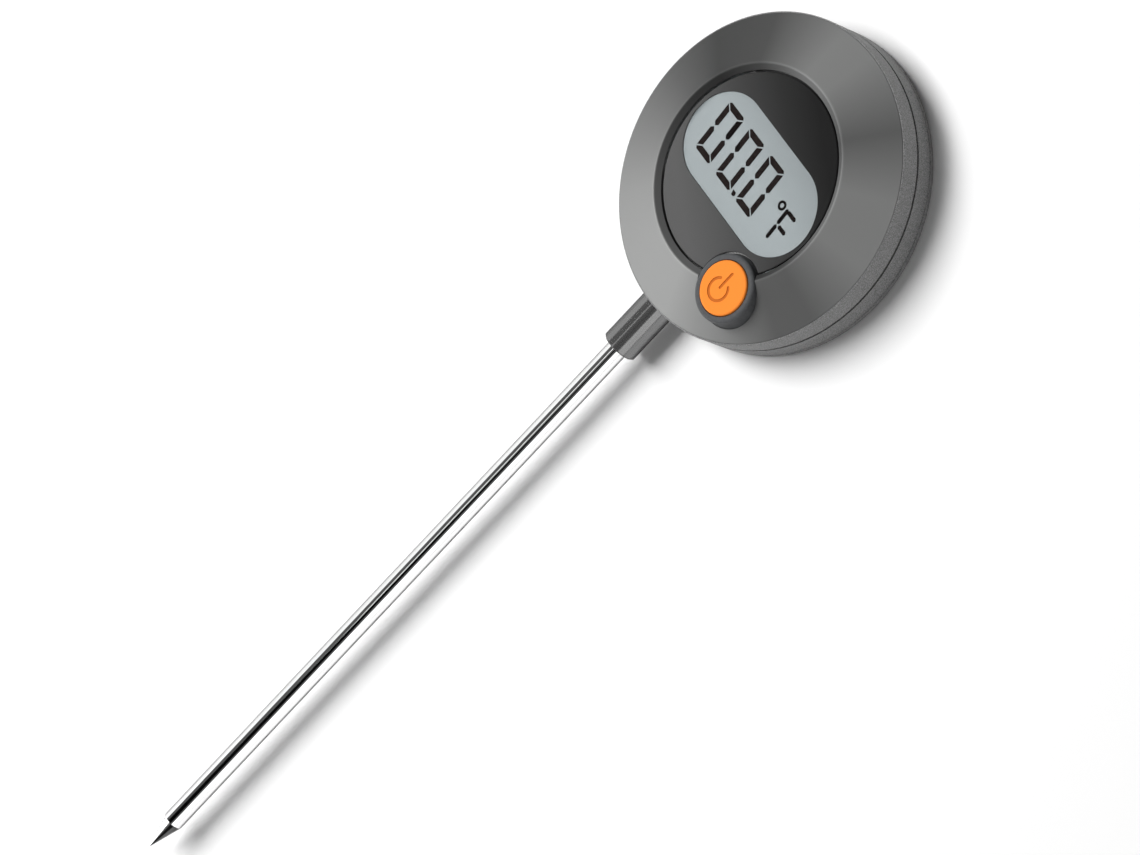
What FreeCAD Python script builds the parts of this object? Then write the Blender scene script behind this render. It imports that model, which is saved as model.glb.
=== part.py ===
"""Digital soil thermometer: a round head with a liquid-crystal display and one power key, on a
stainless probe that leaves the head radially through a metal neck.

Frame, in millimetres: the origin is the stem root, on the probe's axis where it leaves the neck.
The probe points along -Y, the head's disc is centred on +Y, and +Z is the way the display faces.
The parting plane of the two shells holds the probe's axis, so it is the plane z = 0.
Head pieces are drawn about the head's own axis and moved out to it by `on_head`.
"""
import FreeCAD
import Part
import math
import os

V = FreeCAD.Vector
UP = V(0, 0, 1)
ALONG = V(0, 1, 0)

# ---------------------------------------------------------------- probe and neck
stem_length = 127.0        # from the neck's end face to the point
stem_radius = 1.9
stem_wall = 0.25
swage_radius = 1.7         # the tube is drawn down to this where the neck grips it
tip_length = 6.5           # the ground cone
tip_flat = 0.12            # radius of the blunted point
plug_length = 4.0          # spigot of the point inside the tube
neck_length = 10.8         # what shows between the end face and the head's rim
neck_radius = 3.3
neck_groove = 0.6          # depth of the groove that the shells bite into
neck_flange = 1.3          # width of the flange behind the groove
stem_inside = 3.9          # how far the tube runs on past the neck's inner end
retainer_width = 0.7
retainer_rim = 1.0         # retaining ring beyond the swaged tube
neck_edge = 0.25           # bevels of the neck
bead_radius = 0.75
bead_stand = 1.2           # point's spigot to the middle of the bead
lead_radius = 0.25
lead_spread = 0.38         # each lead from the probe's axis
lead_rise = 3.0            # bend radius of the leads below the board
lead_run = 2.5             # straight end of a lead along the board
lead_tail = 1.0            # lead beyond the tube before it bends
fill_length = 9.0          # potting behind the point's spigot
sleeve_wall = 0.3
sleeve_slack = 0.1

# ---------------------------------------------------------------- shells
head_radius = 29.0
wall = 1.8                 # side wall of both shells
skin = 1.4                 # conical face and floor
band_over_neck = 0.9       # neck's top to the rim of the face
bezel_rise = 3.8           # rim of the face to the crest round the window
back_under_neck = 1.6      # neck's underside to the outside of the back
seam_gap = 0.5             # shadow gap between the shells
tongue_height = 0.9        # rear shell's tongue above the parting plane
tongue_width = 0.6
gasket_width = 0.45
rim_width = 0.25           # shell rim that shows round the bezel ring
rim_chamfer = 0.12
trim_thickness = 0.7       # bezel ring
lip_width = 1.05           # sloped inner face of the crest
lip_drop = 0.7
foot_height = 1.25
foot_stand = 0.3           # how far the foot ring stands out of the back
foot_width = 2.5
foot_round = 0.55
foot_line = 0.15           # thin gap between the foot ring and the rear shell
small_edge = 0.12          # broken edges of the foot ring and the rear shell
crest_round = 0.3

# ---------------------------------------------------------------- window and display
window_radius = 17.7
window_gap = 0.35          # dark gap between the fascia and the crest's inner face
fascia_drop = 0.8          # crest to the fascia's face
fascia_thickness = 0.25
fascia_edge = 0.1          # bevel round the display's opening and the fascia's rim
lens_thickness = 0.35
pad_drop = 0.05            # the clear pad sits this far below the fascia's face
tape_thickness = 0.2
deck_thickness = 1.0       # ledge of the front shell that the lens is bonded to
aperture_margin = 0.7      # fascia's rim beyond the ends of the display's opening
aperture_height = 16.8
lcd_side_gap = 0.12
lcd_cover = 2.8            # display beyond the long sides of its opening
lcd_ledge = 1.3            # contact ledge of the front glass beyond the rear glass
polariser = 0.1
glass = 0.3
ink = 0.03
reflector = 0.12
digit_width = 4.75
digit_height = 10.0
digit_pitch = 6.72
digit_stroke = 1.12
digit_gap = 0.12
digit_corner = 0.35
letter_stroke = 0.75
letter_bevel = 0.3
digit_lean = -5.6          # degrees; the figures lean to the left
digit_slope = math.tan(math.radians(digit_lean))
readout_shift = (-0.9, -0.4)
first_digit = -9.96        # middle of the first figure
zebra_inset = 0.65         # display's long edge to the middle of a contact strip
zebra_end = 1.7            # display's corner to the end of a contact strip
zebra_width = 0.9
zebra_side = 0.1           # slot beside a strip
lens_edge = 0.1            # bevel of the clear pad
display_hidden = 0.3       # display beyond the fascia's rim
frame_rim = 1.2            # holder beyond the display
frame_bar = 1.8            # width of the holder's rim inside the display's edge
frame_web = 0.35           # holder's floor under the display

# ---------------------------------------------------------------- key
key_radius = 4.83
key_inset = 15.17          # head's axis to the near side of the key
key_angle = 39.5           # degrees round from the neck
key_proud = 0.3            # key above its collar
key_travel = 0.6
key_flange = 0.5
key_flange_thickness = 0.7
key_skin = 1.0
key_post = 2.2
key_round = 0.35
icon_radius = 2.0
icon_stroke = 0.54
icon_depth = 0.12
icon_gap = 76.0            # degrees left open at the top of the ring
icon_offset = (-0.43, -0.77)
collar_width = 1.1         # flat ring round the key, at its top
collar_draft = 0.5
collar_proud = 0.2         # collar above the crest
collar_depth = 4.2
collar_round = 0.6         # its outer top edge
pad_wall = 0.6             # shell wall round the collar's hole
boot_web = 0.4
boot_flange = 1.0

# ---------------------------------------------------------------- circuit board and cell
board_thickness = 1.0
board_top = 1.9
board_margin = 0.6         # board edge to the shell's wall
notch_side = 1.5           # board's notch beside the neck
pad_thickness = 0.04
pad_split = 0.2            # half the gap between the two pads under the key
chip_radius = 4.5
chip_height = 1.3
part_long = 1.0            # half sizes of the small parts on the board
part_short = 0.62
part_height = 0.55
crystal_radius = 1.0
crystal_length = 6.0
crystal_place = (-12.0, 3.6)
cell_radius = 10.0
cell_height = 3.2
cell_top = 0.0
cell_step = 0.6            # height of the small pole
cell_round = 0.4
cell_room = 0.25           # bay's wall beside the cell
contact_sheet = 0.2
contact_width = 5.6
contact_foot = 3.2
notch_gap = 0.6            # room round the side contact
notch_depth = 0.8          # room behind the side contact
leaf_width = 3.2

# ---------------------------------------------------------------- battery cap
plug_wall = 1.6
cap_depth = 3.4            # how far the plug reaches in from the back
cap_land = 1.7             # sealing land between the plug and the cover's edge
cap_rim = 0.5              # cover outside its seal
cap_plate = 1.3
cap_edge = 0.3             # bevel of the cover
cap_side_gap = 0.15        # round the cover
well_wall = 1.2
well_gap = 0.2             # above the plug
seal_radius = 0.35         # section radius of the cap's O-ring
lug_reach = 0.6
lug_height = 0.7
lug_sweep = 12.0           # degrees
lug_count = 3
mark_radius = 0.6          # sunk dots that show the cap locked and free
mark_depth = 0.3
mark_inset = 2.2
lug_inset = 0.4            # top of the plug to the top of the lugs
unlock_angle = 60.0        # turn that brings the lugs to the mouths of their slots
coin_slot = (15.0, 2.0, 0.9)

# ---------------------------------------------------------------- fasteners
screw_count = 3
screw_margin = 1.2         # boss to the shells' wall
screw_radius = 1.0
screw_head = 1.8
screw_head_height = 1.2
screw_length = 6.0
screw_sink = 2.0           # back to the screw's seat
screw_relief = 0.4         # hole beyond a screw's point
boss_radius = 2.4
board_screw_radius = 0.8
board_screw_head = 1.4
board_screw_head_height = 0.7
board_screw_length = 3.2
board_screw_orbit = 21.2
board_screw_angles = (50.0, 130.0, 235.0)
board_boss = 1.8

# ---------------------------------------------------------------- clearances
running = 0.10             # beside a piece that slides
fit = 0.08                 # beside a piece that is pushed or dropped in
glue = 0.05                # bonded faces
thread_gap = 0.02          # beside a screw's thread, and in a pressed joint
hole_gap = 0.4             # board and frame round a post
slot_gap = 0.12            # above and below a lug of the cap

# ---------------------------------------------------------------- places worked out from the sizes
head_y = neck_length + head_radius
rim_z = neck_radius + band_over_neck
lip_z = rim_z + bezel_rise
trim_inner = window_radius + window_gap
lip_radius = trim_inner + lip_width
slope = bezel_rise / (head_radius - lip_radius)
inner_radius = head_radius - wall
tongue_radius = inner_radius + tongue_width
screw_orbit = inner_radius - boss_radius - screw_margin
back_z = -neck_radius - back_under_neck
floor_z = back_z + skin
foot_bottom = back_z - foot_stand
foot_top = foot_bottom + foot_height
fascia_top = lip_z - fascia_drop
lens_top = fascia_top - fascia_thickness
deck_top = lens_top - lens_thickness - tape_thickness
deck_bottom = deck_top - deck_thickness
aperture_length = 2 * (window_radius - aperture_margin)
lcd_radius = window_radius + display_hidden
lcd_half_height = aperture_height / 2 + lcd_cover
zebra_y = lcd_half_height - zebra_inset
zebra_half = math.sqrt(lcd_radius ** 2 - lcd_half_height ** 2) - zebra_end
lcd_top = lens_top - lens_thickness - glue
front_glass_bottom = lcd_top - polariser - glass
rear_glass_top = front_glass_bottom - ink
rear_glass_bottom = rear_glass_top - glass
lcd_bottom = rear_glass_bottom - reflector
key_orbit = key_inset + key_radius
key_x = key_orbit * math.sin(math.radians(key_angle))
key_y = -key_orbit * math.cos(math.radians(key_angle))
collar_inner = key_radius + running
collar_outer = collar_inner + collar_width
collar_foot = collar_outer + collar_draft
collar_top = lip_z + collar_proud
collar_bottom = collar_top - collar_depth
pad_radius = collar_foot + fit + pad_wall
key_top = collar_top + key_proud
key_stop = collar_bottom - glue
key_bottom = key_stop - key_flange_thickness
key_flange_radius = collar_inner + key_flange - running
shaft_radius = key_flange_radius + running
board_bottom = board_top - board_thickness
board_radius = inner_radius - board_margin
boot_top = key_bottom
boot_base = board_top + 0.5
boot_foot = shaft_radius - 0.5
boot_radius = boot_foot + boot_flange
cell_bottom = cell_top - cell_height
plug_inner = cell_radius + hole_gap
plug_radius = plug_inner + plug_wall
plug_top = back_z + cap_depth
cover_radius = plug_radius + cap_land + cap_rim
cover_top = back_z + cap_plate
land_z = cover_top + glue
seal_ring = plug_radius + running + lug_reach + running + seal_radius
lug_radius = plug_radius + lug_reach
lug_top = plug_top - lug_inset
lug_bottom = lug_top - lug_height
unlock_lift = lug_top - land_z
cap_lead = unlock_lift * 360.0 / unlock_angle
well_radius = cover_radius + well_wall


# ---------------------------------------------------------------- drawing helpers
def lathe(outline, axis=UP):
    """Solid of revolution of (radius, height) points about +Z or +Y."""
    if axis == UP:
        points = [V(r, 0, h) for r, h in outline]
    else:
        points = [V(r, h, 0) for r, h in outline]
    face = Part.Face(Part.makePolygon(points + points[:1]))
    return face.revolve(V(0, 0, 0), axis, 360)


def disc(radius, low, high, x=0.0, y=0.0):
    return Part.makeCylinder(radius, high - low, V(x, y, low), UP)


def ring(inner, outer, low, high, x=0.0, y=0.0):
    return disc(outer, low, high, x, y).cut(disc(inner, low - 1, high + 1, x, y))


def block(x0, x1, y0, y1, z0, z1):
    return Part.makeBox(x1 - x0, y1 - y0, z1 - z0, V(x0, y0, z0))


def rod(radius, low, high, x=0.0, z=0.0):
    """Cylinder along the probe's axis, between two places on Y."""
    return Part.makeCylinder(radius, high - low, V(x, low, z), ALONG)


def slab(outline, low, high):
    """Prism of a closed outline in the head's plane."""
    points = [V(x, y, low) for x, y in outline]
    return Part.Face(Part.makePolygon(points + points[:1])).extrude(V(0, 0, high - low))


def merged(shapes):
    return shapes[0].multiFuse(shapes[1:]).removeSplitter()


def on_head(shape):
    moved = shape.copy()
    moved.translate(V(0, head_y, 0))
    return moved


def polar(radius, degrees):
    return radius * math.cos(math.radians(degrees)), radius * math.sin(math.radians(degrees))


def face_z(radius):
    """Height of the bezel's conical face."""
    return lip_z - (radius - lip_radius) * slope


def edges_at(shape, height, radius):
    """Round edges of that radius, in the plane of that height."""
    found = []
    for edge in shape.Edges:
        curve = edge.Curve
        if isinstance(curve, Part.Circle) and abs(curve.Center.z - height) < 1e-4 \
                and abs(curve.Radius - radius) < 1e-4:
            found.append(edge)
    return found


def stadium(length, height, low, high):
    """Slot-shaped prism, centred on the head's axis, long in X."""
    radius = height / 2
    reach = length / 2 - radius
    middle = block(-reach, reach, -radius, radius, low, high)
    return merged([middle, disc(radius, low, high, -reach), disc(radius, low, high, reach)])


def collar_cone(extra, low, high):
    """The collar's drafted outside, grown by `extra`, between two heights."""
    draft = collar_draft / collar_depth
    radius_low = collar_outer + (collar_top - low) * draft + extra
    radius_high = collar_outer + (collar_top - high) * draft + extra
    return Part.makeCone(radius_low, radius_high, high - low, V(key_x, key_y, low), UP)


def key_disc(radius, low, high):
    return disc(radius, low, high, key_x, key_y)


def band(radius, half_height, low, high):
    """A disc cut off above and below, as display glass is."""
    plate = block(-radius, radius, -half_height, half_height, low, high)
    return disc(radius, low, high).common(plate)


def screw_places():
    return [polar(screw_orbit, 90 + i * 360.0 / screw_count) for i in range(screw_count)]


def board_screw_places():
    return [polar(board_screw_orbit, angle) for angle in board_screw_angles]


# ---------------------------------------------------------------- probe
def stem_tube():
    """Tube with a shoulder that butts on the neck's end face."""
    low, high = -stem_length + tip_length, tube_end()
    bore, swaged = stem_radius - stem_wall, swage_radius - stem_wall
    taper = stem_radius - swage_radius
    return lathe([(bore, low), (stem_radius, low), (stem_radius, 0), (swage_radius, 0), (swage_radius, high),
                  (swaged, high), (swaged, -stem_wall), (bore, -stem_wall - taper)], ALONG)


def stem_tip():
    base = -stem_length + tip_length
    spigot = stem_radius - stem_wall - glue / 2
    return lathe([(0, -stem_length), (tip_flat, -stem_length), (stem_radius, base), (spigot, base),
                  (spigot, base + plug_length), (0, base + plug_length)], ALONG)


def plug_end():
    """Inner end of the point's spigot."""
    return -stem_length + tip_length + plug_length


def bead_y():
    return plug_end() + bead_stand


def thermistor():
    return Part.makeSphere(bead_radius, V(0, bead_y(), 0))


def lead_path(x):
    """Along the tube, then an easy double bend up to the underside of the board."""
    height = board_bottom - lead_radius
    turn = math.acos(1 - height / (2 * lead_rise))
    run = lead_rise * math.sin(turn)
    bend = tube_end() + lead_tail
    half = V(x, bend + run, height / 2)
    end = V(x, bend + 2 * run, height)
    quarter = turn / 2
    first = V(x, bend + lead_rise * math.sin(quarter), lead_rise * (1 - math.cos(quarter)))
    second = V(x, end.y - lead_rise * math.sin(quarter), height - lead_rise * (1 - math.cos(quarter)))
    start = V(x, bead_y() + bead_radius * 0.6, 0)
    last = end.y + lead_run
    edges = [Part.LineSegment(start, V(x, bend, 0)).toShape(),
             Part.Arc(V(x, bend, 0), first, half).toShape(),
             Part.Arc(half, second, end).toShape(),
             Part.LineSegment(end, V(x, last, height)).toShape()]
    return Part.Wire(edges), start, last


def sensor_leads():
    leads = []
    for x in (-lead_spread, lead_spread):
        path, start, _ = lead_path(x)
        profile = Part.Wire(Part.Circle(start, ALONG, lead_radius).toShape())
        leads.append(path.makePipeShell([profile], True, False))
    return Part.makeCompound([lead.cut(thermistor()) for lead in leads])


def lead_solder():
    """Solder on the board's underside, round the end of each lead."""
    _, _, end_y = lead_path(lead_spread)
    height = board_bottom - lead_radius
    drops = []
    for x in (-lead_spread - 0.35, lead_spread + 0.35):
        drop = Part.makeCone(0.3, 0.5, 0.5, V(x, end_y - 0.9, board_bottom - 0.5), UP)
        drops.append(drop)
    both = Part.makeCompound(drops)
    for x in (-lead_spread, lead_spread):
        both = both.cut(rod(lead_radius, end_y - 4, end_y + 0.001, x, height))
    return both


def potting():
    low = plug_end()
    fill = rod(stem_radius - stem_wall - glue / 2, low + glue, low + fill_length)
    return fill.cut(thermistor()).cut(sensor_leads())


def lead_sleeve():
    low = plug_end() + fill_length + lead_tail / 2
    outer = swage_radius - stem_wall - sleeve_slack
    high = tube_end() + lead_tail * 0.8
    return rod(outer, low, high).cut(rod(outer - sleeve_wall, low - 1, high + 1))


def wall_y(radius):
    """Place on Y of the head's wall of that radius, on the probe's axis."""
    return head_y - radius


def neck_groove_span():
    """The groove that the inner part of the shells' wall bites into."""
    return wall_y(head_radius - 0.7), wall_y(inner_radius) + 0.35


def neck_inner_end():
    return neck_groove_span()[1] + neck_flange


def tube_end():
    return neck_inner_end() + stem_inside


def neck():
    low, high = neck_groove_span()
    end = neck_inner_end()
    bore = swage_radius + thread_gap
    floor = neck_radius - neck_groove
    inner = neck_radius - neck_edge
    return lathe([(bore, 0), (inner, 0), (neck_radius, neck_edge), (neck_radius, low),
                  (floor, low), (floor, high), (inner, high), (inner, end), (bore, end)], ALONG)


def neck_hole():
    """What both shells lose to the neck."""
    low, high = neck_groove_span()
    outer = rod(neck_radius + fit, 0, low + fit / 2)
    bite = rod(neck_radius - neck_groove + fit, 0, high)
    pocket = rod(neck_radius + fit, wall_y(inner_radius), tube_end() + lead_tail * 2)
    hole = merged([outer, bite, pocket])
    hole.translate(V(0, -head_y, 0))
    return hole


def retaining_ring():
    low = neck_inner_end() + glue
    high = low + retainer_width
    return rod(swage_radius + retainer_rim, low, high).cut(rod(swage_radius + thread_gap, low - 1, high + 1))


# ---------------------------------------------------------------- bezel and window
def under_trim(radius):
    """Top of the front shell below the bezel ring."""
    return face_z(radius) - trim_thickness - glue


def under_skin(radius):
    """Inside of the front shell's conical face."""
    return under_trim(radius) - skin


def bezel_ring():
    edge = head_radius - rim_width - glue
    leg = trim_inner + trim_thickness
    outline = [(edge, face_z(edge)), (lip_radius, lip_z), (trim_inner, lip_z - lip_drop),
               (trim_inner, deck_top + glue), (leg, deck_top + glue),
               (leg, face_z(leg + 0.3) - trim_thickness), (leg + 0.3, face_z(leg + 0.3) - trim_thickness),
               (edge, face_z(edge) - trim_thickness)]
    whole = lathe(outline)
    crest = edges_at(whole, lip_z, lip_radius)
    whole = whole.makeFillet(crest_round, crest)
    return whole.cut(collar_cone(fit, collar_bottom - 2, collar_top + 1))


def window_outline(radius, key_clear, low, high):
    """Round plate with the bite that the key's collar takes out of it."""
    return disc(radius, low, high).cut(key_disc(key_clear, low - 1, high + 1))


def collar_gap():
    return collar_outer + (collar_top - fascia_top) * collar_draft / collar_depth + 0.35


def fascia_plate():
    plate = window_outline(window_radius, collar_gap(), lens_top, fascia_top)
    hole = stadium(aperture_length, aperture_height, lens_top - 1, fascia_top + 1)
    plate = plate.cut(hole)
    rim = [edge for edge in plate.Edges if all(abs(v.Z - fascia_top) < 1e-6 for v in edge.Vertexes)]
    return plate.makeChamfer(fascia_edge, rim)


def window_lens():
    plate = window_outline(window_radius, collar_gap() + 0.05, lens_top - lens_thickness, lens_top)
    top = fascia_top - pad_drop
    pad = stadium(aperture_length - 2 * fit, aperture_height - 2 * fit, lens_top, top)
    crown = [edge for edge in pad.Edges if all(abs(v.Z - top) < 1e-6 for v in edge.Vertexes)]
    pad = pad.makeChamfer(lens_edge, crown)
    return merged([plate, pad])


def lcd_opening(grow, low, high):
    """Opening of the front shell's deck, grown by `grow`."""
    hole = band(lcd_radius + lcd_side_gap + grow, lcd_half_height + 0.2 + grow, low, high)
    return hole.cut(key_disc(pad_radius - grow, low - 1, high + 1))


def lens_tape():
    """Two crescents of tape, above and below the display."""
    low, high = deck_top, deck_top + tape_thickness
    whole = window_outline(trim_inner - fit, collar_foot + 0.1, low, high)
    return whole.cut(lcd_opening(0.2, low - 1, high + 1))


# ---------------------------------------------------------------- display
def lcd_plate(half_height, low, high):
    return band(lcd_radius, half_height, low, high).cut(key_disc(pad_radius + 0.1, low - 1, high + 1))


def lcd_polariser():
    return lcd_plate(lcd_half_height - 0.6, lcd_top - polariser, lcd_top)


def lcd_front_glass():
    return lcd_plate(lcd_half_height, front_glass_bottom, front_glass_bottom + glass)


def lcd_rear_glass():
    return lcd_plate(lcd_half_height - lcd_ledge, rear_glass_bottom, rear_glass_top)


def lcd_reflector():
    return lcd_plate(lcd_half_height - lcd_ledge, lcd_bottom, rear_glass_bottom)


def leaned(points, x, y):
    """Points of a figure about its own centre, leaned over and put in place."""
    return [(x + readout_shift[0] + px + py * digit_slope, y + readout_shift[1] + py)
            for px, py in points]


def bar(x0, y0, x1, y1):
    """Six-cornered segment of the letter from one end to the other, pointed at both."""
    length = math.hypot(x1 - x0, y1 - y0)
    ux, uy = (x1 - x0) / length, (y1 - y0) / length
    nx, ny = -uy * letter_stroke / 2, ux * letter_stroke / 2
    px, py = ux * letter_bevel, uy * letter_bevel
    return [(x0, y0), (x0 + px + nx, y0 + py + ny), (x1 - px + nx, y1 - py + ny), (x1, y1),
            (x1 - px - nx, y1 - py - ny), (x0 + px - nx, y0 + py - ny)]


def zero_segments():
    """The six lit segments of a nought. Outer corners are cut off square with the figure."""
    w, h, s, g = digit_width / 2, digit_height / 2, digit_stroke, digit_gap
    cut = digit_corner
    top = [(-w + cut + g, h), (w - cut - g, h), (w - g, h - cut), (w - s - g * 0.4, h - s),
           (-w + s + g * 0.4, h - s), (-w + g, h - cut)]
    side = [(w, h - cut - 2 * g), (w, g + s * 0.45), (w - s / 2, g), (w - s, g + s * 0.45),
            (w - s, h - s - 2 * g)]
    mirror_x = [[(-x, y) for x, y in figure] for figure in (side,)]
    mirror_y = [[(x, -y) for x, y in figure] for figure in (top, side)]
    both = [[(-x, -y) for x, y in side]]
    return [top, side] + mirror_x + mirror_y + both


def lcd_segments():
    """Three noughts with a point before the last, and the degree sign and F."""
    centres = [first_digit + i * digit_pitch for i in range(3)]
    figures = [leaned(figure, x, 0.2) for x in centres for figure in zero_segments()]
    figures.append(leaned([(-0.5, 0.42), (0.35, 0.42), (0.55, -0.05), (0.3, -0.42), (-0.3, -0.42)],
                          0.5, -4.3))
    letter = [bar(-1.35, 3.1, -1.35, -0.05), bar(-1.35, -0.2, -1.35, -3.1),
              bar(-1.2, 2.75, 1.3, 2.75), bar(-0.95, -0.12, 1.35, -0.12)]
    figures += [leaned(figure, 12.55, -1.3) for figure in letter]
    solids = [slab(figure, rear_glass_top, front_glass_bottom) for figure in figures]
    degree_x, degree_y = leaned([(0, 0)], 9.4, 1.3)[0]
    solids.append(ring(0.42, 0.88, rear_glass_top, front_glass_bottom, degree_x, degree_y))
    return Part.makeCompound(solids)


def zebra_strips():
    half = zebra_width / 2
    strips = [block(-zebra_half, zebra_half, side * zebra_y - half, side * zebra_y + half,
                    board_top, front_glass_bottom) for side in (-1, 1)]
    return Part.makeCompound(strips).cut(key_disc(pad_radius + hole_gap, 0, lip_z))


def lcd_frame():
    """Holder between the board and the display, with a window for the chip and two strip slots."""
    low, high = board_top, deck_bottom - glue
    body = band(lcd_radius + frame_rim, lcd_half_height + frame_rim, low, high)
    crown = band(lcd_radius - 0.1, lcd_half_height - lcd_ledge - 0.2, high, lcd_bottom - glue)
    frame = merged([body, crown])
    room = lcd_bottom - glue - frame_web
    frame = frame.cut(band(lcd_radius - frame_bar, lcd_half_height - lcd_ledge * 2, low - 1, room))
    reach, half = zebra_half + zebra_side, zebra_width / 2 + zebra_side
    for side in (-1, 1):
        frame = frame.cut(block(-reach, reach, side * zebra_y - half, side * zebra_y + half, low - 1, lip_z))
    return frame.cut(key_disc(pad_radius + hole_gap, 0, lip_z))


# ---------------------------------------------------------------- shells
def shell_envelope():
    """Everything below the top of the front shell, to trim bosses with."""
    outline = [(0, back_z - 5), (head_radius, back_z - 5), (head_radius, under_trim(head_radius)),
               (lip_radius, under_trim(lip_radius)), (lip_radius, deck_top), (0, deck_top)]
    return lathe(outline)


def front_shell():
    edge = head_radius - rim_width
    leg = trim_inner + trim_thickness + fit
    deck_edge = lip_radius + (lip_z - (deck_bottom + trim_thickness + glue + skin)) / slope
    tongue_room = tongue_radius + fit
    outline = [
        (head_radius, seam_gap / 2), (head_radius, rim_z - rim_chamfer), (head_radius - rim_chamfer, rim_z),
        (edge, rim_z), (edge, under_trim(edge)), (leg, under_trim(leg + 0.25)), (leg, deck_top),
        (0, deck_top), (0, deck_bottom), (deck_edge, deck_bottom), (inner_radius, under_skin(inner_radius)),
        (inner_radius, tongue_height + 0.15), (tongue_room, tongue_height + 0.15),
        (tongue_room, seam_gap / 2)]
    body = lathe(outline)
    posts = [key_disc(pad_radius, boot_base, deck_top)]
    posts += [disc(boss_radius, -0.2, deck_top, x, y) for x, y in screw_places()]
    posts += [disc(board_boss, board_top, deck_top - 0.3, x, y) for x, y in board_screw_places()]
    posts = merged(posts).common(shell_envelope())
    body = merged([body, posts])
    body = body.cut(lcd_opening(0, deck_bottom - 1, deck_top + 1))
    body = body.cut(collar_cone(fit, collar_bottom, collar_top + 1))
    body = body.cut(key_disc(shaft_radius, boot_base - 1, collar_bottom + 1))
    body = body.cut(key_disc(boot_radius + running, board_top, boot_base))
    for x, y in screw_places():
        body = body.cut(disc(screw_radius + thread_gap, -1, screw_seat() + screw_length + screw_relief, x, y))
    for x, y in board_screw_places():
        top = board_bottom + board_screw_length + screw_relief
        body = body.cut(disc(board_screw_radius + thread_gap, 0, top, x, y))
    return body.cut(neck_hole()).removeSplitter()


def screw_seat():
    """Where the head of a case screw bears, inside the rear shell's boss."""
    return back_z + screw_sink


def helical_bar(r_in, r_out, low, height, start, sweep):
    """Bar of square section that climbs the cap's lead, from `start` degrees round through `sweep`."""
    rise = cap_lead * sweep / 360.0
    middle = (r_in + r_out) / 2
    spine = Part.makeHelix(cap_lead, rise, middle)
    corners = [V(r_in, 0, 0), V(r_out, 0, 0), V(r_out, 0, height), V(r_in, 0, height)]
    profile = Part.makePolygon(corners + corners[:1])
    bar_shape = Part.Wire(spine).makePipeShell([profile], True, True)
    bar_shape.rotate(V(0, 0, 0), UP, start)
    bar_shape.translate(V(0, 0, low))
    return bar_shape


def lug_angle(index):
    return 90.0 + index * 360.0 / lug_count


def lug_slots():
    """Three short ramps in the well's wall, open at the sealing land."""
    slots = []
    beyond = lug_sweep / 2 + 1.0
    sweep = unlock_angle + 2 * beyond
    low = lug_bottom - slot_gap + cap_lead * (beyond - sweep) / 360.0
    for i in range(lug_count):
        slots.append(helical_bar(plug_radius - 0.5, lug_radius + running, low,
                                 lug_height + 2 * slot_gap, lug_angle(i) + beyond - sweep, sweep))
    return slots


def rear_shell():
    foot_inner = head_radius - foot_width - glue
    shelf = foot_top + foot_line
    outline = [
        (0, back_z), (foot_inner, back_z), (foot_inner, shelf), (head_radius - small_edge, shelf),
        (head_radius, shelf + small_edge), (head_radius, -seam_gap / 2), (tongue_radius, -seam_gap / 2),
        (tongue_radius, tongue_height), (inner_radius, tongue_height), (inner_radius, shelf + skin),
        (foot_inner - skin, shelf + skin), (foot_inner - skin, floor_z), (0, floor_z)]
    body = lathe(outline)
    posts = [disc(well_radius, back_z, cell_top - cell_step)]
    posts += [disc(boss_radius + 0.5, back_z, -0.3, x, y) for x, y in screw_places()]
    body = merged([body] + posts).common(disc(tongue_radius + 5, back_z, lip_z))
    body = body.cut(disc(cover_radius + cap_side_gap, back_z - 1, land_z))
    body = body.cut(disc(plug_radius + running, land_z - 1, plug_top + well_gap))
    body = body.cut(disc(cell_radius + cell_room, back_z, cell_top + 1))
    body = body.cut(ring(foot_inner, head_radius + 1, back_z - 1, shelf))
    for angle, size in ((90.0, mark_radius), (90.0 - unlock_angle, mark_radius * 0.6)):
        x, y = polar(cover_radius + mark_inset, angle)
        body = body.cut(disc(size, back_z - 1, back_z + mark_depth, x, y))
    for slot in lug_slots():
        body = body.cut(slot)
    half = contact_width / 2 + notch_gap
    body = body.cut(block(cell_radius - 1, cell_radius + notch_depth, -half, half, plug_top + well_gap,
                          cell_top + 1))
    for x, y in screw_places():
        body = body.cut(disc(screw_head + 0.3, back_z - 1, screw_seat(), x, y))
        body = body.cut(disc(screw_radius + 0.15, back_z - 1, lip_z, x, y))
    return body.cut(neck_hole()).removeSplitter()


def shell_gasket():
    half = seam_gap / 2
    return ring(tongue_radius + glue, tongue_radius + gasket_width, -half, half).cut(neck_hole())


def foot_ring():
    inner = head_radius - foot_width
    outer = head_radius - glue
    outline = [(inner, foot_bottom), (outer, foot_bottom), (outer, foot_top - small_edge),
               (outer - small_edge, foot_top), (inner, foot_top)]
    body = lathe(outline)
    return body.makeFillet(min(foot_round, foot_height * 0.8), edges_at(body, foot_bottom, outer))


# ---------------------------------------------------------------- key
def button_collar():
    body = collar_cone(0, collar_bottom, collar_top)
    body = body.cut(key_disc(collar_inner, collar_bottom - 1, collar_top + 1))
    body = body.makeFillet(collar_round, edges_at(body, collar_top, collar_outer))
    return body.makeFillet(crest_round / 2, edges_at(body, collar_top, collar_inner))


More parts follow.
